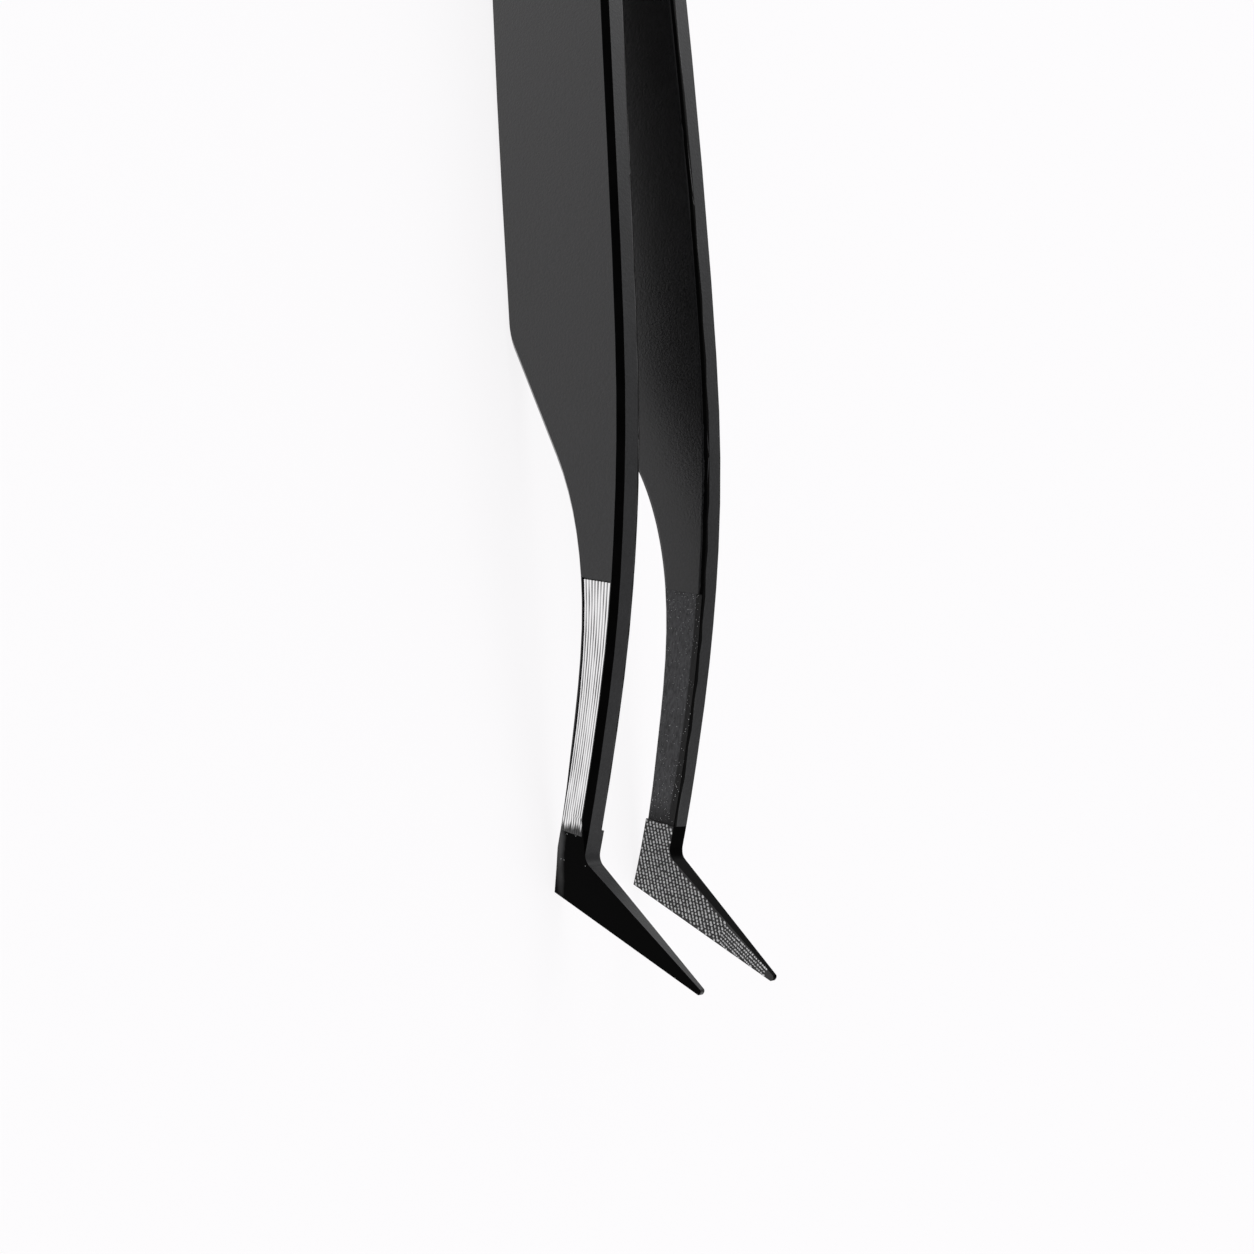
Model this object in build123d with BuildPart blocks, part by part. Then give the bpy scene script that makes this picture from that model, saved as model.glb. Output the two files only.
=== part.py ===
from build123d import *
import os

os.makedirs("parts", exist_ok=True)

# Overall sizes. +X runs along the arms to the tips, Y goes across the gap, and the rear edges lie on Z = 0.
overall_length = 120.0
body_width = 10.1
tail_width = 6.2

# Boot at the tip: heel on the floor side, toe pointing forward and up.
heel_back = 5.8
toe_height = 9.75
toe_width = 0.34
toe_radius = 0.15
toe_thickness = 0.26
instep_back = 7.4
instep_height = 3.02
instep_radius = 0.75
boot_angle = 50.0

# Side view of the neck, shoulder and body: distances back from the tip, heights of the front and rear edges.
neck_back = 13.7
neck_front = 5.17
neck_rear = 2.65
knee_back = 18.6
knee_front = 6.59
knee_rear = 3.89
waist_back = 24.1
waist_front = 7.81
waist_rear = 4.51
flank_back = 30.8
flank_front = 8.82
flank_rear = 3.3
shoulder_back = 39.25
shoulder_front = 9.42
shoulder_radius = 4.0
mid_body_back = 55.0
mid_body_front = 9.93
widest_back = 66.0

# Tail, where the two arms are welded face to face.
weld_length = 15.0
tail_taper_length = 34.0
tail_rise = 1.7
tail_corner_radius = 1.2

# Half of the gap between the arms, at the tip, the waist, the shoulder, the mid body and the rear body.
tip_half_gap = 2.99
waist_half_gap = 2.90
shoulder_half_gap = 2.79
mid_body_half_gap = 2.40
rear_body_half_gap = 1.25

# Thickness of the plate, which is ground thinner towards the neck.
body_thickness = 1.80
shoulder_thickness = 1.70
waist_thickness = 1.68
neck_thickness = 1.54

# Edges of the plate, and the ground panels on both faces of the neck.
outer_chamfer = 0.36
inner_radius = 0.32
toe_end_length = 5.0
panel_depth = 0.10
panel_length = 13.9
panel_margin = 0.44
panel_overlap = 2.0
ankle_back = 9.3
ankle_height = 2.65
pad_back = 5.2
neck_angle = 18.0

tip_x = overall_length / 2
tail_x = -overall_length / 2
weld_x = tail_x + weld_length
clear_of_plate = 2 * body_width


def at(back, height):
    """A point of a view, from its distance back from the tip and its height or offset."""
    return (tip_x - back, height)


# Side view of one arm.
heel = at(heel_back, 0)
shoulder = at(shoulder_back, 0)
instep = at(instep_back, instep_height)
toe_sole = (tip_x, toe_height)
tail_rear = (tail_x, tail_rise)
tail_front = (tail_x, tail_rise + tail_width)
with BuildSketch(Plane.XZ) as side_view:
    with BuildLine():
        front_edge = Spline(
            instep,
            at(neck_back, neck_front),
            at(knee_back, knee_front),
            at(waist_back, waist_front),
            at(flank_back, flank_front),
            at(shoulder_back, shoulder_front),
            at(mid_body_back, mid_body_front),
            at(widest_back, body_width),
            tangents=[(-1, 0.38), (-1, 0)],
        )
        TangentArc(front_edge @ 1, tail_front, tangent=front_edge % 1)
        Line(tail_front, tail_rear)
        rear_edge = Line((tail_x + tail_taper_length, 0), shoulder)
        TangentArc(rear_edge @ 0, tail_rear, tangent=(-1, 0))
        shoulder_slope = Line(shoulder, at(flank_back, flank_rear))
        Spline(
            shoulder_slope @ 1,
            at(waist_back, waist_rear),
            at(knee_back, knee_rear),
            at(neck_back, neck_rear),
            heel,
            tangents=[shoulder_slope % 1, (1, -0.42)],
        )
        Line(heel, toe_sole)
        toe_end = PolarLine(toe_sole, toe_width, boot_angle + 90)
        Line(toe_end @ 1, instep)
    make_face()
    fillet(side_view.vertices().sort_by_distance((*toe_sole, 0))[0:2], toe_radius)
    fillet(side_view.vertices().sort_by_distance((*instep, 0))[0], instep_radius)
    fillet(side_view.vertices().sort_by_distance((*shoulder, 0))[0], shoulder_radius)
    fillet(side_view.vertices().sort_by(Axis.X)[0:2], tail_corner_radius)

# Plan view of one arm: a bowed plate that is flat in the weld and thins towards the neck.
rear_body_x = (tip_x - mid_body_back + weld_x) / 2
neck_outside = tip_half_gap + neck_thickness
with BuildSketch() as plan_view:
    with BuildLine():
        Line((tip_x, tip_half_gap), at(pad_back, tip_half_gap))
        Spline(
            at(pad_back, tip_half_gap),
            at(waist_back, waist_half_gap),
            at(shoulder_back, shoulder_half_gap),
            at(mid_body_back, mid_body_half_gap),
            (rear_body_x, rear_body_half_gap),
            (weld_x, 0),
            tangents=[(-1, 0), (-1, 0)],
        )
        Polyline((weld_x, 0), (tail_x, 0), (tail_x, body_thickness), (weld_x, body_thickness))
        outer_face = Spline(
            (weld_x, body_thickness),
            (rear_body_x, rear_body_half_gap + body_thickness),
            at(mid_body_back, mid_body_half_gap + body_thickness),
            at(shoulder_back, shoulder_half_gap + shoulder_thickness),
            at(waist_back, waist_half_gap + waist_thickness),
            at(knee_back, neck_outside),
            tangents=[(1, 0), (1, 0)],
        )
        Polyline(outer_face @ 1, (tip_x, neck_outside), (tip_x, tip_half_gap))
    make_face()

# Directions back from the toe along the boot, and back from the ankle along the neck.
boot_back = Vector(-1, 0, 0).rotate(Axis.Y, -boot_angle)
neck_back_way = Vector(-1, 0, 0).rotate(Axis.Y, neck_angle)
toe_point = Vector(tip_x, 0, toe_height)
ankle_point = Vector(tip_x - ankle_back, 0, ankle_height)
toe_line = Plane(toe_point + toe_end_length * boot_back, z_dir=boot_back)
ankle_line = Plane(ankle_point, z_dir=neck_back_way)

# The bowed plate before its edges and faces are ground.
with BuildPart() as plate:
    extrude(side_view.sketch, amount=clear_of_plate, both=True)
    extrude(plan_view.sketch, amount=clear_of_plate, both=True, mode=Mode.INTERSECT)


def long_edges(part, facing, cut):
    """The long edges of a part's inner or outer faces, without upright seams and the end at a cut."""
    faces = part.faces().filter_by(lambda face: face.normal_at(face.center()).Y * facing > 0.9)
    edges = faces.edges().filter_by(Axis.Z, reverse=True)
    return edges.filter_by(lambda edge: abs(cut.to_local_coords(edge @ 0.5).Z) > 0.01)


# Cutters for the ground panels of the neck. Each leaves the plate alone below its own depth.
panel_middle = ankle_point + panel_length / 2 * neck_back_way
outer_panel_middle = ankle_point + (panel_length - panel_overlap) / 2 * neck_back_way
with BuildPart() as inner_panel:
    with BuildSketch(Plane.XZ):
        with Locations((panel_middle.X, panel_middle.Z)):
            Rectangle(panel_length, clear_of_plate, rotation=-neck_angle)
    extrude(amount=clear_of_plate, both=True)
    add(plate.part.moved(Location((0, panel_depth, 0))), mode=Mode.SUBTRACT)
with BuildPart() as outer_panel:
    with BuildSketch(Plane.XZ):
        with BuildLine():
            front_side = Spline(
                at(instep_back, instep_height - panel_margin),
                at(neck_back, neck_front - panel_margin),
                at(knee_back, knee_front - panel_margin),
                at(waist_back, waist_front - panel_margin),
            )
            rear_side = Spline(
                at(heel_back, panel_margin),
                at(neck_back, neck_rear + panel_margin),
                at(knee_back, knee_rear + panel_margin),
                at(waist_back, waist_rear + panel_margin),
            )
            Line(front_side @ 0, rear_side @ 0)
            Line(front_side @ 1, rear_side @ 1)
        make_face()
        with Locations((outer_panel_middle.X, outer_panel_middle.Z)):
            Rectangle(
                panel_length + panel_overlap, clear_of_plate, rotation=-neck_angle, mode=Mode.INTERSECT
            )
    extrude(amount=clear_of_plate, both=True)
    add(plate.part.moved(Location((0, -panel_depth, 0))), mode=Mode.SUBTRACT)

# The outer face of the boot is ground flat, from the floor of the outer panel to the thin toe.
boot_reach = (ankle_point - toe_point).dot(neck_back_way)
boot_grind_slope = (neck_outside - panel_depth - tip_half_gap - toe_thickness) / boot_reach
boot_grind_view = Plane(ankle_point, x_dir=-neck_back_way, z_dir=Vector(0, 1, 0).cross(neck_back_way))
grind_from = -2 * panel_depth / boot_grind_slope
grind_to = 2 * boot_reach
with BuildPart() as boot_grind:
    with BuildSketch(boot_grind_view):
        with BuildLine():
            Polyline(
                (grind_from, neck_outside + panel_depth),
                (grind_to, neck_outside - panel_depth - grind_to * boot_grind_slope),
                (grind_to, clear_of_plate),
                (grind_from, clear_of_plate),
                close=True,
            )
        make_face()
    extrude(amount=clear_of_plate, both=True)

with BuildPart() as left_arm:
    add(split(plate.part, bisect_by=ankle_line, keep=Keep.TOP, mode=Mode.PRIVATE))
    fillet(long_edges(left_arm, -1, ankle_line), inner_radius)
    boot = split(plate.part, bisect_by=ankle_line, keep=Keep.BOTTOM, mode=Mode.PRIVATE)
    add(split(boot, bisect_by=toe_line, keep=Keep.TOP, mode=Mode.PRIVATE))
    chamfer(long_edges(left_arm, 1, toe_line), outer_chamfer)
    add(split(boot, bisect_by=toe_line, keep=Keep.BOTTOM, mode=Mode.PRIVATE))
    add(boot_grind.part, mode=Mode.SUBTRACT)
    add(inner_panel.part, mode=Mode.SUBTRACT)
    add(outer_panel.part, mode=Mode.SUBTRACT)
left_arm.part.label = "left_arm"
export_step(left_arm.part, "parts/left_arm.step")
with BuildPart() as right_arm:
    mirror(left_arm.part, about=Plane.XZ)
right_arm.part.label = "right_arm"
export_step(right_arm.part, "parts/right_arm.step")
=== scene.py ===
import math

import bmesh
import bpy
from mathutils import Matrix, Vector, noise
from mathutils.bvhtree import BVHTree


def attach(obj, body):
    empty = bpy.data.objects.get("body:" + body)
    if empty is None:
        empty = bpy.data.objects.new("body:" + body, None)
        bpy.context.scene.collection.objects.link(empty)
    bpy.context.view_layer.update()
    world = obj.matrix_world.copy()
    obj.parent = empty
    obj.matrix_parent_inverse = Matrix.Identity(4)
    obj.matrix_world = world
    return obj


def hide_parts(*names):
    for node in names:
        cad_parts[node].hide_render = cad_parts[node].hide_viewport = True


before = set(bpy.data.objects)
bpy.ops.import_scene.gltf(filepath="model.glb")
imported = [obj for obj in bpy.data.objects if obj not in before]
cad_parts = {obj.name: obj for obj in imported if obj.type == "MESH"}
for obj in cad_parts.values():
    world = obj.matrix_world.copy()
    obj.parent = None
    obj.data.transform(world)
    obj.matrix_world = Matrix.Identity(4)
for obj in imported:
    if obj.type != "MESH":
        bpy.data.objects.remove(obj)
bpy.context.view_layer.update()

# The two arms: strips of spring steel, stamped, ground to thickness and bowed, then coated a satin black and
# welded face to face at the tail. The boot at each tip is polished on its outer face, as are the long edges,
# and the neck is ground on both faces where the arm was thinned.
TIP_X = 0.060
ANKLE = Vector((TIP_X - 0.0093, 0, 0.00265))
NECK_ANGLE = math.radians(18)
NECK_WAY = Vector((-math.cos(NECK_ANGLE), 0, math.sin(NECK_ANGLE)))
NECK_ACROSS = Vector((math.sin(NECK_ANGLE), 0, math.cos(NECK_ANGLE)))
NECK_LENGTH = 0.0139


class Socket:
    """One output of a node, which takes part in sums written as Python expressions."""

    def __init__(self, nodes, socket):
        self.nodes = nodes
        self.socket = socket

    def also(self, output):
        """Another output of the same node."""
        return Socket(self.nodes, self.socket.node.outputs[output])

    def math(self, operation, other=0.0):
        """This value put through a Math node, with a second value for the kinds that take one."""
        return self.nodes.node("ShaderNodeMath", {"operation": operation}, {0: self, 1: other})

    def __add__(self, other):
        return self.math("ADD", other)

    def __sub__(self, other):
        return self.math("SUBTRACT", other)

    def __rsub__(self, other):
        return self.nodes.node("ShaderNodeMath", {"operation": "SUBTRACT"}, {0: other, 1: self})

    def __mul__(self, other):
        return self.math("MULTIPLY", other)

    def __truediv__(self, other):
        return self.math("DIVIDE", other)

    __radd__ = __add__
    __rmul__ = __mul__

    def over(self, limit):
        return self.math("GREATER_THAN", limit)

    def under(self, limit):
        return self.math("LESS_THAN", limit)

    def rise(self, start, end):
        """0 below start and 1 above end, with a straight ramp between them."""
        values = {"Value": self, "From Min": start, "From Max": end}
        return self.nodes.node("ShaderNodeMapRange", None, values)


class Nodes:
    """A node tree, and the one way that nodes are added to it."""

    def __init__(self, tree):
        self.tree = tree

    def put(self, socket, value):
        if isinstance(value, Socket):
            self.tree.links.new(value.socket, socket)
        else:
            socket.default_value = value

    def node(self, kind, settings=None, values=None, output=0):
        made = self.tree.nodes.new(kind)
        for name, value in (settings or {}).items():
            setattr(made, name, value)
        for name, value in (values or {}).items():
            self.put(made.inputs[name], value)
        return Socket(self, made.outputs[output])

    def part(self, place, axis):
        return self.node("ShaderNodeSeparateXYZ", None, {"Vector": place}, axis)

    def along(self, place, start, way):
        """How far a place is from a starting point, measured along a direction."""
        away = self.node("ShaderNodeVectorMath", {"operation": "SUBTRACT"}, {0: place, 1: start})
        return self.node("ShaderNodeVectorMath", {"operation": "DOT_PRODUCT"}, {0: away, 1: way}, "Value")


class Finish(Nodes):
    """A surface finish: one material with one shader."""

    def __init__(self, name, **constants):
        self.material = bpy.data.materials.new(name)
        self.material.use_nodes = True
        super().__init__(self.material.node_tree)
        self.shader = self.tree.nodes["Principled BSDF"]
        self.wear(**constants)

    def wear(self, **values):
        """Sets the shader's inputs, each to a value or to another node's result."""
        for name, value in values.items():
            self.put(self.shader.inputs[name.replace("_", " ")], value)

    def here(self):
        return self.node("ShaderNodeTexCoord", output="Object")

    def place(self, turn=0.0, stretch=1.0):
        """The object's own coordinates in millimetres, with a pattern drawn out along a turned X axis."""
        scaled = self.node("ShaderNodeVectorMath", {"operation": "SCALE"}, {0: self.here(), "Scale": 1000})
        values = {"Vector": scaled, "Rotation": (0, turn, 0), "Scale": (stretch, 1, 1)}
        return self.node("ShaderNodeMapping", {"vector_type": "TEXTURE"}, values)

    def noise(self, place, scale, detail=2.0, roughness=0.5):
        values = {"Vector": place, "Scale": scale, "Detail": detail, "Roughness": roughness}
        return self.node("ShaderNodeTexNoise", None, values)

    def kept(self, name):
        """A number that the mesh keeps at each of its points."""
        return self.node("ShaderNodeAttribute", {"attribute_name": name}, output="Fac")

    def blend(self, share, first, second):
        """A colour that goes from first to second as share goes from 0 to 1."""
        mix = self.tree.nodes.new("ShaderNodeMix")
        mix.data_type = "RGBA"
        for name, value in (("Factor_Float", share), ("A_Color", first), ("B_Color", second)):
            self.put(next(s for s in mix.inputs if s.identifier == name), value)
        return Socket(self, next(s for s in mix.outputs if s.identifier == "Result_Color"))

    def bumps(self, height, distance):
        return self.node("ShaderNodeBump", None, {"Height": height, "Distance": distance})


def grey(level, blue=1.0):
    return (level, level, level * blue, 1)


coat = Finish("satin black coating", IOR=1.5)
cloud = coat.noise(coat.place(), scale=0.55, detail=3.0, roughness=0.6)
speck = coat.noise(coat.place(), scale=6.0, detail=3.0, roughness=0.7)
mottle = cloud * 0.4 + speck.rise(0.3, 0.7) * 0.6
coat.wear(
    Base_Color=coat.blend(mottle, grey(0.0005, 1.1), grey(0.0125, 1.15)),
    Roughness=0.27 + 0.08 * cloud + 0.06 * speck,
    Normal=coat.bumps(speck, distance=0.00002),
)

gloss = Finish("polished black coating", IOR=1.45, Specular_IOR_Level=0.05)
smear = gloss.noise(gloss.place(), scale=0.8)
gloss.wear(
    Base_Color=gloss.blend(smear, grey(0.001), grey(0.003)),
    Roughness=0.12 + 0.1 * smear,
)

# A soft grey band of painted highlight lies along the rear edge of the boot and fades out above the heel.
HEEL = Vector((TIP_X - 0.0058, 0, 0))
ACROSS_HEEL_LINE = Vector((0.318, 0, 0.948))
HEEL_BAND = (0.00035, 0.0008)
HEEL_FADE = (0.0002, 0.0011)
HEEL_BAND_SWAY = 0.0004
boot = Finish("polished boot with a worn rear edge", IOR=1.45, Specular_IOR_Level=0.02)
highlight_sway = boot.noise(boot.place(), scale=1.2, detail=3.0)
from_rear = boot.along(boot.here(), HEEL, ACROSS_HEEL_LINE) + (highlight_sway - 0.5) * HEEL_BAND_SWAY
highlighted = (1 - from_rear.rise(*HEEL_BAND)) * boot.part(boot.here(), 2).rise(*HEEL_FADE)
boot.wear(
    Base_Color=boot.blend(highlighted, grey(0.001), grey(0.1)),
    Roughness=0.14 + 0.25 * highlighted,
)

# On the inner face of the neck the wheel left a black rim along the front edge, and the ground face is
# darker in a plain band at the foot. The curve of the front edge is given in millimetres.
FRONT_X, FRONT_HEIGHT, FRONT_SLOPE, FRONT_BOW = 46.3, 5.17, 0.3216, 0.0065
PANEL_RIM = (0.5, 0.58)
PANEL_FOOT = (0.0004, 0.0012)
matt = Finish("coating ground matt", IOR=1.5, Specular_IOR_Level=0.3)
grind = matt.noise(matt.place(NECK_ANGLE, 3.0), scale=8.0, detail=4.0, roughness=0.75)
bloom = matt.noise(matt.place(), scale=0.7)
side_place = matt.place()
up_front = FRONT_X - matt.part(side_place, 0)
front_height = FRONT_HEIGHT + up_front * (FRONT_SLOPE - FRONT_BOW * up_front)
off_rim = (front_height - matt.part(side_place, 2)).rise(*PANEL_RIM)
off_foot = matt.along(matt.here(), ANKLE, NECK_WAY).rise(*PANEL_FOOT)
grain = matt.blend(grind.rise(0.35, 0.7) * 0.8 + bloom * 0.2, grey(0.016), grey(0.13, 1.05))
matt.wear(
    Base_Color=matt.blend(off_rim * (0.25 + 0.75 * off_foot), grey(0.001), grain),
    Roughness=0.5 + 0.1 * bloom,
    Normal=matt.bumps(grind, distance=0.00003),
)

bed = Finish("coating between the gripping grains", IOR=1.45)
dust = bed.noise(bed.place(), scale=12.0)
bed.wear(Base_Color=bed.blend(dust, grey(0.004), grey(0.04)), Roughness=0.5)

COAT, PANEL, BOOT, INNER_PANEL, GRIP, EDGE, BOOT_EDGE = range(7)
ARM_FINISHES = (coat, coat, boot, matt, bed, gloss, boot)
BROAD_FACE = 0.95
NARROW_FACE = 0.12
SMOOTH_JOIN = math.radians(5)
ANKLE_CLEAR = 0.004
NECK_CLEAR = 0.0005
MERGE = 0.000001


def back_of(point):
    return (Vector((point.x, 0, point.z)) - ANKLE).dot(NECK_WAY)


def narrow_zone(face, side):
    """The finish of a face along the edges of the plate. The left boot is polished on its front face too."""
    on_boot = back_of(face.calc_center_median()) < 0
    if abs(face.normal.y) < NARROW_FACE:
        return BOOT_EDGE if on_boot and side > 0 and face.normal.z > 0 else COAT
    return BOOT_EDGE if on_boot else EDGE


def patch_of(first):
    """The smooth patch of broad faces that a face belongs to."""
    turned = math.copysign(1, first.normal.y)
    patch, todo = {first}, [first]
    while todo:
        for edge in todo.pop().edges:
            for face in edge.link_faces:
                flat = face.normal.y * turned > BROAD_FACE and edge.calc_face_angle(0) < SMOOTH_JOIN
                if flat and face not in patch:
                    patch.add(face)
                    todo.append(face)
    return patch


def patch_zone(patch, outside):
    """The finish of a smooth patch, from where it lies along the neck and which way it faces."""
    area = sum(face.calc_area() for face in patch)
    middle = sum(back_of(face.calc_center_median()) * face.calc_area() for face in patch) / area
    furthest = max(back_of(vert.co) for face in patch for vert in face.verts)
    if middle < 0:
        return BOOT if outside else GRIP
    if furthest < NECK_LENGTH + NECK_CLEAR and middle > ANKLE_CLEAR:
        return PANEL if outside else INNER_PANEL
    return COAT


def zones(skin, side):
    """The finish of each face of an arm."""
    found = {}
    for face in skin.faces:
        if abs(face.normal.y) < BROAD_FACE:
            found[face] = narrow_zone(face, side)
        elif face not in found:
            patch = patch_of(face)
            found.update(dict.fromkeys(patch, patch_zone(patch, face.normal.y * side > 0)))
    return [found[face] for face in skin.faces]


def finish_piece(name, mesh, *replaced):
    """Puts a finished mesh in the scene as a piece that rides on the tweezers."""
    piece = bpy.data.objects.new(name, mesh)
    bpy.context.scene.collection.objects.link(piece)
    if replaced:
        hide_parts(*replaced)
    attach(piece, "root")
    return piece


def make_arm(name, side):
    """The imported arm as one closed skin, with its own smooth normals and a finish on each ground face."""
    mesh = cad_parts[name].data.copy()
    normals = [tuple(corner.vector) for corner in mesh.corner_normals]
    skin = bmesh.new()
    skin.from_mesh(mesh)
    bmesh.ops.remove_doubles(skin, verts=skin.verts, dist=MERGE)
    zone_list = zones(skin, side)
    skin.to_mesh(mesh)
    skin.free()
    mesh.materials.clear()
    for finish in ARM_FINISHES:
        mesh.materials.append(finish.material)
    mesh.polygons.foreach_set("material_index", zone_list)
    mesh.normals_split_custom_set(normals)
    return finish_piece(name + "_plate", mesh, name)


arms = {"left": (make_arm("left_arm", 1), 1), "right": (make_arm("right_arm", -1), -1)}


def zone_sheet(arm, *kept):
    """The faces of an arm that have one of the given finishes, as a sheet of their own."""
    part = bmesh.new()
    part.from_mesh(arm.data)
    others = [face for face in part.faces if face.material_index not in kept]
    bmesh.ops.delete(part, geom=others, context="FACES")
    sheet = bpy.data.meshes.new("sheet")
    part.to_mesh(sheet)
    part.free()
    return sheet


# The bright strip along the outer face of each neck, where a belt has cut through the coating to bare steel.
# Its fine lengthwise grooves lie side by side, sway and wear a little, and run out in streaks at the ankle;
# towards the bottom of each groove the steel is painted dark, as painted shade.
STRIP_ROWS = 180
GROOVES = 9
COLUMNS = GROOVES * 8
GROOVE_SWAY = 0.012
SWAY_ALONG, SWAY_ACROSS = 260, 2.2
GROOVE_SHARPNESS = 1.7
GROOVE_DEPTH = 0.000016
CUT_STRENGTH, CUT_SWING = 0.95, 0.6
CUT_ALONG, CUT_ACROSS, CUT_LAYER = 700, 3.1, 5.0
STRIP_START = -0.0004
STRIP_END = 0.01386
STRIP_SHARE = 0.985
STREAK_LENGTH = 0.00035
STREAK_START, STREAK_SLANT = 0.4, 0.7
TUFT_ACROSS, TUFT_LAYER, TUFT_SIDES = 0.9, 2.0, 4.0
STRIP_LIFT = 0.000012
STRIP_THICKNESS = 0.00003
NEAR_ANKLE = 0.0003
NECK_OUTSIDE = 0.0044
ARM_CLEAR = 0.01
SCAN_STEP = 0.00005
SCAN_STEPS = 60
HALVINGS = 14

ground_steel = Finish("bare ground steel")
groove = ground_steel.kept("groove")
bright = ground_steel.kept("bright")
scratch = ground_steel.noise(ground_steel.place(NECK_ANGLE, 8.0), scale=14.0, detail=3.0, roughness=0.6)
# Painted shade: the steel is painted dark towards the bottom of each groove.
steel_with_groove_shade = ground_steel.blend(groove, grey(0.98), grey(0.06))
ground_steel.wear(
    Base_Color=ground_steel.blend(bright, grey(0.003), steel_with_groove_shade),
    Metallic=bright,
    Roughness=0.2 + 0.15 * scratch,
)


def outer_face(arm, side):
    """A function that finds the place on an arm's ground outer face behind a point of the side view."""
    sheet = zone_sheet(arm, PANEL, BOOT)
    surface = BVHTree.FromPolygons([v.co for v in sheet.vertices], [p.vertices for p in sheet.polygons])
    return lambda x, z: surface.ray_cast(Vector((x, side * ARM_CLEAR, z)), Vector((0, -side, 0)))[0]


def strip_span(hit_at, back):
    """The rear and front limits of the ground face, across the neck at a distance back from the ankle."""
    steps = [step * SCAN_STEP for step in range(-SCAN_STEPS, SCAN_STEPS + 1)]
    hits = [across for across in steps if hit_at(back, across)]
    limits = []
    for inside, outside in ((hits[0], hits[0] - SCAN_STEP), (hits[-1], hits[-1] + SCAN_STEP)):
        for _ in range(HALVINGS):
            middle = (inside + outside) / 2
            if hit_at(back, middle):
                inside = middle
            else:
                outside = middle
        limits.append(inside)
    return limits


def groove_at(back, share, side):
    """Which groove a place of the strip is at, and how deep the cut is there."""
    sway = noise.noise(Vector((back * SWAY_ALONG, share * SWAY_ACROSS, side)))
    phase = GROOVES * (share + GROOVE_SWAY * sway)
    wear = noise.noise(Vector((back * CUT_ALONG, round(phase) * CUT_ACROSS, CUT_LAYER)))
    cut = (0.5 + 0.5 * math.cos(2 * math.pi * phase)) ** GROOVE_SHARPNESS
    return phase, cut * (CUT_STRENGTH + CUT_SWING * wear)


def brightness_at(back, share, phase, side):
    """How much bare steel shows, from none past the ragged end of the strip to all of it."""
    tuft = noise.noise(Vector((phase * TUFT_ACROSS, TUFT_LAYER, side * TUFT_SIDES)))
    ragged = STREAK_LENGTH * (STREAK_START + STREAK_SLANT * share + tuft)
    return min(max((back - STRIP_START - ragged) / STREAK_LENGTH, 0), 1)


def strip_mesh(name, points, kept, side):
    """The strip's points as a smooth sheet that faces outwards and keeps numbers at each of them."""
    wide = COLUMNS + 1
    starts = [row * wide + column for row in range(STRIP_ROWS) for column in range(COLUMNS)]
    quads = [(start, start + 1, start + wide + 1, start + wide) for start in starts]
    mesh = bpy.data.meshes.new(name)
    mesh.from_pydata(points, [], quads)
    if mesh.polygons[0].normal.y * side < 0:
        mesh.flip_normals()
    for label, values in kept.items():
        mesh.attributes.new(label, "FLOAT", "POINT").data.foreach_set("value", values)
    mesh.materials.append(ground_steel.material)
    mesh.shade_smooth()
    return mesh


def make_strip(name, arm, side):
    """The strip as a thin shell laid on the ground outer face of an arm, with its grooves cut in."""
    find = outer_face(arm, side)

    def place_at(back, across):
        return ANKLE + back * NECK_WAY + across * NECK_ACROSS

    def hit_at(back, across):
        start = place_at(back, across)
        return find(start.x, start.z)

    points, kept = [], {"groove": [], "bright": []}
    spot = Vector((0, side * NECK_OUTSIDE, 0))
    for row in range(STRIP_ROWS + 1):
        back = STRIP_START + (STRIP_END - STRIP_START) * row / STRIP_ROWS
        steady = max(back, NEAR_ANKLE)
        rear, front = strip_span(hit_at, steady)
        for column in range(COLUMNS + 1):
            share = column / COLUMNS
            across = rear + (front - rear) * STRIP_SHARE * share
            phase, cut = groove_at(back, share, side)
            edge = column in (0, COLUMNS) or row in (0, STRIP_ROWS)
            lift = 0 if edge else STRIP_LIFT + GROOVE_DEPTH * (1 - cut)
            spot = hit_at(back, across) or hit_at(steady, across) or spot
            point = place_at(back, across)
            point.y = spot.y + side * lift
            points.append(point)
            kept["groove"].append(min(max(cut, 0), 1))
            kept["bright"].append(brightness_at(back, share, phase, side))
    strip = finish_piece(name, strip_mesh(name, points, kept, side))
    shell = strip.modifiers.new("shell", "SOLIDIFY")
    shell.thickness = STRIP_THICKNESS
    shell.offset = -1


for label, (arm, side) in arms.items():
    make_strip(label + "_neck_strip", arm, side)

# The gripping grains on the inner face of each boot: hard steel grit fused on in close rows that run nearly
# along the tweezers, and finer and crossing towards the toe.
TOE = Vector((TIP_X, 0, 0.00975))
BOOT_ANGLE = math.radians(50)
BOOT_WAY = Vector((-math.cos(BOOT_ANGLE), 0, -math.sin(BOOT_ANGLE)))
PAD_MIDDLE = Vector((0.0548, 0, 0.0042))
LATTICE = 100
GRAIN_HEIGHT = 0.00005
GRAIN_LENGTH = 0.5
GRAIN_WIDTH = 0.3
GRAIN_SIZES = ((0.7, 0.6, 0.65), (1.15, 1.2, 1.15))
UNEVEN = 0.16
ASKEW = 0.25


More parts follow.
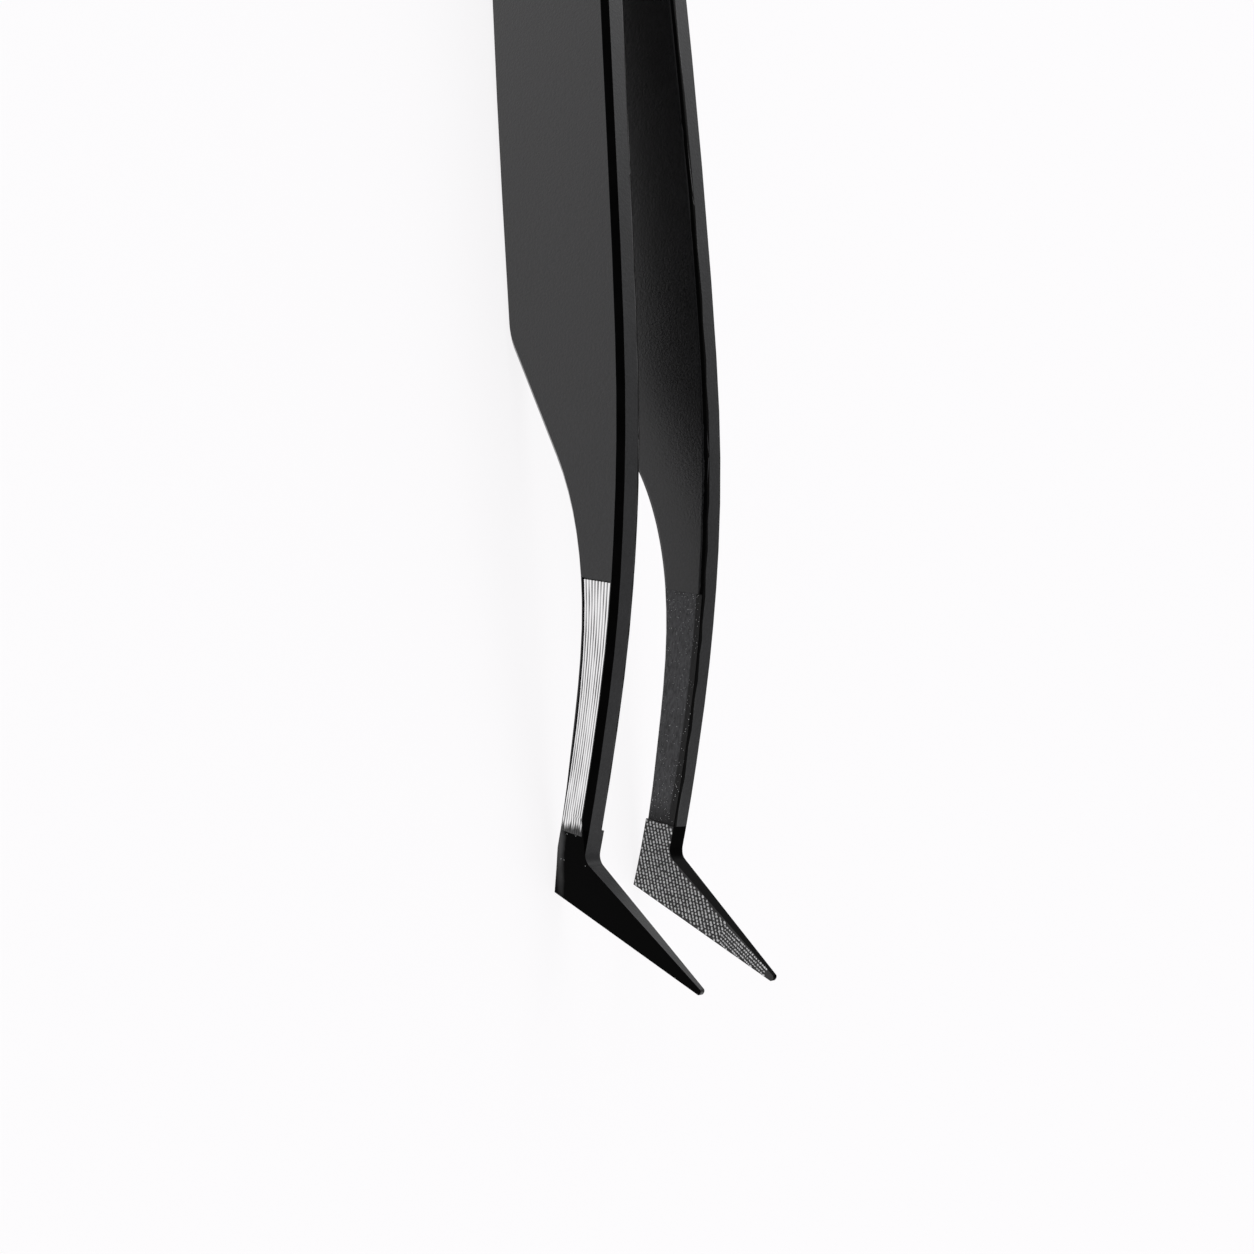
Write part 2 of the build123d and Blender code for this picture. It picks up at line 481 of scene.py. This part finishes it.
class Pattern(Nodes):
    """A pattern that grows on a surface by Geometry Nodes, with named sizes."""

    def __init__(self, name, **sizes):
        super().__init__(bpy.data.node_groups.new(name, "GeometryNodeTree"))
        self.tree.is_modifier = True
        sockets = self.tree.interface
        sockets.new_socket("Geometry", in_out="INPUT", socket_type="NodeSocketGeometry")
        sockets.new_socket("Geometry", in_out="OUTPUT", socket_type="NodeSocketGeometry")
        self.keys = {}
        for label, value in sizes.items():
            socket = sockets.new_socket(label, in_out="INPUT", socket_type="NodeSocketFloat")
            socket.default_value = value
            self.keys[label] = socket.identifier
        self.entry = self.tree.nodes.new("NodeGroupInput")
        self.way_out = self.tree.nodes.new("NodeGroupOutput")

    def size(self, label):
        return Socket(self, self.entry.outputs[label])

    def spot(self):
        return self.node("GeometryNodeInputPosition")

    def random(self, low, high, seed):
        settings = {"data_type": "FLOAT"}
        return self.node("FunctionNodeRandomValue", settings, {2: low, 3: high, "Seed": seed}, 1)

    def random_vector(self, low, high, seed):
        settings = {"data_type": "FLOAT_VECTOR"}
        return self.node("FunctionNodeRandomValue", settings, {0: low, 1: high, "Seed": seed})

    def vector(self, x, y, z):
        return self.node("ShaderNodeCombineXYZ", None, {"X": x, "Y": y, "Z": z})

    def grains(self, points, size, turn, scale, finish):
        """Small grains on points, each with its own shade, as one plain mesh."""
        ball = self.node("GeometryNodeMeshIcoSphere", None, {"Radius": 1.0, "Subdivisions": 1})
        grain = self.node("GeometryNodeTransform", None, {"Geometry": ball, "Scale": size})
        values = {"Points": points, "Instance": grain, "Rotation": turn, "Scale": scale}
        laid = self.node("GeometryNodeInstanceOnPoints", None, values)
        values = {"Geometry": laid, "Name": "shade", "Value": self.random(0.0, 1.0, seed=7)}
        shaded = self.node("GeometryNodeStoreNamedAttribute", {"domain": "INSTANCE"}, values)
        real = self.node("GeometryNodeRealizeInstances", None, {"Geometry": shaded})
        done = self.node("GeometryNodeSetMaterial", None, {"Geometry": real, "Material": finish.material})
        self.put(self.way_out.inputs["Geometry"], done)

    def grow(self, mesh, **sizes):
        """The plain mesh that the pattern makes on a sheet."""
        ground = bpy.data.objects.new("ground", mesh)
        bpy.context.scene.collection.objects.link(ground)
        modifier = ground.modifiers.new("pattern", "NODES")
        modifier.node_group = self.tree
        for label, value in sizes.items():
            modifier[self.keys[label]] = value
        finished = ground.evaluated_get(bpy.context.evaluated_depsgraph_get())
        grown = bpy.data.meshes.new_from_object(finished)
        bpy.data.objects.remove(ground)
        return grown


grit_steel = Finish("hard steel grain", Metallic=0.85)
shade = grit_steel.kept("shade")
grit_steel.wear(
    Base_Color=grit_steel.blend(shade, grey(0.3), grey(0.95)),
    Roughness=0.32 + 0.2 * shade,
)

grip = Pattern(
    "grip rows",
    side=1.0,
    row_pitch=0.00025,
    grain_pitch=0.0002,
    turn=0.0,
    nearest=0.0,
    furthest=1.0,
    margin=0.00006,
)
row_pitch, grain_pitch, turn = grip.size("row_pitch"), grip.size("grain_pitch"), grip.size("turn")
counts = {"Vertices X": LATTICE, "Vertices Y": LATTICE}
steps = {"Size X": grain_pitch * (LATTICE - 1), "Size Y": row_pitch * (LATTICE - 1)}
lattice = grip.node("GeometryNodeMeshGrid", None, {**counts, **steps})
across = grip.part(grip.spot(), 1)
row = (across / row_pitch + 0.25).math("FLOOR")
stagger = row.math("FLOORED_MODULO", 2.0) * 0.5 + grip.random(-UNEVEN, UNEVEN, seed=1)
ahead = grip.part(grip.spot(), 0) + stagger * grain_pitch
cosine, sine = turn.math("COSINE"), turn.math("SINE")
flat_x = PAD_MIDDLE.x + (ahead * cosine - across * sine)
flat_z = PAD_MIDDLE.z + (ahead * sine + across * cosine)
values = {"Geometry": lattice, "Position": grip.vector(flat_x, 0.0, flat_z)}
laid = grip.node("GeometryNodeSetPosition", None, values)
towards = grip.vector(0.0, grip.size("side"), 0.0)
values = {"Target Geometry": grip.size("Geometry"), "Ray Direction": towards, "Ray Length": ARM_CLEAR}
hit = grip.node("GeometryNodeRaycast", None, values, "Is Hit")
from_toe = grip.along(grip.spot(), TOE, BOOT_WAY)
wanted = hit * from_toe.over(grip.size("nearest")) * from_toe.under(grip.size("furthest"))
inside = grip.node("GeometryNodeDeleteGeometry", None, {"Geometry": laid, "Selection": 1 - wanted})
values = {"Geometry": inside, "Position": hit.also("Hit Position")}
settled = grip.node("GeometryNodeSetPosition", None, values)
on_outline = grip.node("GeometryNodeInputMeshEdgeNeighbors").under(1.5)
values = {"Geometry": grip.size("Geometry"), "Selection": on_outline}
outline = grip.node("GeometryNodeSeparateGeometry", {"domain": "EDGE"}, values)
to_edge = grip.node("GeometryNodeProximity", {"target_element": "EDGES"}, {0: outline}, "Distance")
values = {"Geometry": settled, "Selection": to_edge.under(grip.size("margin"))}
clear = grip.node("GeometryNodeDeleteGeometry", None, values)
length, width = grain_pitch * GRAIN_LENGTH, row_pitch * GRAIN_WIDTH
askew = grip.random(-ASKEW, ASKEW, seed=2) - turn
grip.grains(
    clear,
    grip.vector(length, GRAIN_HEIGHT, width),
    grip.vector(0.0, askew, 0.0),
    grip.random_vector(*GRAIN_SIZES, seed=3),
    grit_steel,
)


def joined(name, *meshes):
    """Several meshes as one."""
    whole = bmesh.new()
    for mesh in meshes:
        whole.from_mesh(mesh)
    result = bpy.data.meshes.new(name)
    whole.to_mesh(result)
    whole.free()
    result.materials.append(meshes[0].materials[0])
    return result


TOE_GRAINS = 0.0042
TOE_BARE = 0.0006
ROW_TURN = math.radians(7)
CROSSED = {"turn": math.radians(47), "row_pitch": 0.0002, "grain_pitch": 0.00017, "margin": 0.00005}
for label, (arm, side) in arms.items():
    pad = zone_sheet(arm, GRIP)
    rows = grip.grow(pad, side=side, turn=ROW_TURN, nearest=TOE_GRAINS)
    toe = grip.grow(pad, side=side, nearest=TOE_BARE, furthest=TOE_GRAINS, **CROSSED)
    finish_piece(label + "_grip_grains", joined(label + "_grip_grains", rows, toe))

# Grit left by the wheel on the inner face of each neck: tiny bright flecks pressed into the matt coating,
# thicker at both ends of the ground face, and a few bright steel specks on the polished boot below the
# bright strip, which are painted glints.
TOP_GRIT = 0.0006
FOOT_GRIT = 0.0013
FLECK_SIZES = ((0.5, 0.5, 0.5), (1.6, 1.0, 1.6))
# Painted glints: bright steel specks at given places on the polished boot.
GLINT_SPOTS = ((0.05103, 0.002), (0.05119, 0.0027), (0.05244, 0.00133), (0.05288, 0.00301), (0.05236, 0.00109))
GLINT_SIZE = 0.000025
GLINT_SHAPE = (1.3, 0.5, 0.8, 1)
GLINT_SHADE = 0.9
neck_grit = Pattern("neck grit", density=7e6, end_density=16e6, fleck=0.000016)
up_neck = neck_grit.along(neck_grit.spot(), ANKLE, NECK_WAY)
at_ends = up_neck.over(NECK_LENGTH - TOP_GRIT) + up_neck.under(FOOT_GRIT)
density = neck_grit.size("density") + neck_grit.size("end_density") * at_ends
values = {"Mesh": neck_grit.size("Geometry"), "Density": density, "Seed": 4}
scattered = neck_grit.node("GeometryNodeDistributePointsOnFaces", None, values)
fleck = neck_grit.size("fleck")
neck_grit.grains(
    scattered,
    neck_grit.vector(fleck, fleck, fleck),
    (0.0, 0.0, 0.0),
    neck_grit.random_vector(*FLECK_SIZES, seed=5),
    grit_steel,
)


def make_glints(arm, side):
    """Small bright steel specks on the outer face of the boot, at places of the side view: painted glints.
    """
    find = outer_face(arm, side)
    glint_specks = bmesh.new()
    for x, z in GLINT_SPOTS:
        spot = find(x, z)
        if spot:
            where = Matrix.Translation(spot) @ Matrix.Diagonal(GLINT_SHAPE)
            bmesh.ops.create_icosphere(glint_specks, subdivisions=1, radius=GLINT_SIZE, matrix=where)
    mesh = bpy.data.meshes.new("glint_specks")
    glint_specks.to_mesh(mesh)
    glint_specks.free()
    shades = [GLINT_SHADE] * len(mesh.vertices)
    mesh.attributes.new("shade", "FLOAT", "POINT").data.foreach_set("value", shades)
    return mesh


for label, (arm, side) in arms.items():
    flecks = neck_grit.grow(zone_sheet(arm, INNER_PANEL))
    finish_piece(label + "_neck_grit_and_glints", joined(label + "_neck_grit_and_glints", flecks, make_glints(arm, side)))

# The table the tweezers lie on: one wide sheet of pale card. It looks almost white to the eye and in a
# reflection, and it keeps the soft shadow under the arms.
REACH = 1.5
PAPER_SHARE = 0.88
corners = [(-REACH, -REACH, 0), (REACH, -REACH, 0), (REACH, REACH, 0), (-REACH, REACH, 0)]
sheet = bpy.data.meshes.new("floor")
sheet.from_pydata(corners, [], [(0, 1, 2, 3)])
floor = bpy.data.objects.new("floor", sheet)
bpy.context.scene.collection.objects.link(floor)
pale = Finish("pale table", Base_Color=(0.92, 0.915, 0.935, 1), Roughness=0.7)
ray = pale.node("ShaderNodeLightPath", output="Is Camera Ray")
seen = ray + ray.also("Is Glossy Ray") + ray.also("Is Transmission Ray")
paper = pale.node("ShaderNodeEmission", None, {"Color": (1.0, 0.99, 1.0, 1), "Strength": 1.0})
card = Socket(pale, pale.shader.outputs[0])
mixed = pale.node("ShaderNodeMixShader", None, {0: seen * PAPER_SHARE, 1: card, 2: paper})
pale.put(pale.tree.nodes["Material Output"].inputs["Surface"], mixed)
sheet.materials.append(pale.material)

# The studio: a wide pale tent with a black card over the near side and a grey one over the far side, which
# keep the polished edges dark, and a soft box beyond each end of the tweezers.
TENT_LIGHT = 0.95
NEAR_CARD = ((-0.18, -0.66, 0.73), 0.6, 0.92, 0.01)
FAR_CARD = ((0.0, 0.75, 0.66), 0.72, 0.95, 0.42)
world = bpy.data.worlds.new("studio")
bpy.context.scene.world = world
world.use_nodes = True
tent = Nodes(world.node_tree)
sky = tent.tree.nodes["Background"]
facing = tent.node("ShaderNodeTexCoord", output="Generated")
level = TENT_LIGHT
for way, fade_from, fade_to, darkest in (NEAR_CARD, FAR_CARD):
    towards = {0: facing, 1: Vector(way).normalized()}
    share = tent.node("ShaderNodeVectorMath", {"operation": "DOT_PRODUCT"}, towards, "Value")
    values = {"Value": share, "From Min": fade_from, "From Max": fade_to, "To Min": 1.0, "To Max": darkest}
    level = tent.node("ShaderNodeMapRange", {"interpolation_type": "SMOOTHSTEP"}, values) * level
tent.put(sky.inputs["Strength"], level)
tent.put(sky.inputs["Color"], (0.99, 0.99, 1, 1))
BOX_SIZE = 0.4
BOX_POWER = 1.3


def soft_box(name, place):
    """A square lamp that faces the tweezers."""
    lamp = bpy.data.lights.new(name, "AREA")
    lamp.size = BOX_SIZE
    lamp.energy = BOX_POWER
    box = bpy.data.objects.new(name, lamp)
    bpy.context.scene.collection.objects.link(box)
    box.location = place
    box.rotation_euler = (-Vector(place)).to_track_quat("-Z", "Y").to_euler()


soft_box("tail_end_box", (-0.45, 0.1, 0.45))
soft_box("tip_end_box", (0.5, 0.1, 0.4))

# The camera: above the near arm and beside the tips, where the photo's camera was in relation to them. The
# picture's upward side is towards the tail.
EYE = Vector((0.05307798, -0.05807082, 0.05629812))
VIEW = Vector((-0.17502910, 0.73102627, -0.65951908)).normalized()
RIGHT = Vector((0.08102259, 0.67828202, 0.73032105)).normalized()
lens = bpy.data.cameras.new("camera")
lens.sensor_width = 36
lens.lens = 38.4896
lens.clip_start = 0.001
camera = bpy.data.objects.new("camera", lens)
bpy.context.scene.collection.objects.link(camera)
turned = Matrix((RIGHT, RIGHT.cross(VIEW), -VIEW)).transposed().to_4x4()
camera.matrix_world = Matrix.Translation(EYE) @ turned
bpy.context.scene.camera = camera
bpy.context.scene.view_settings.view_transform = "Standard"
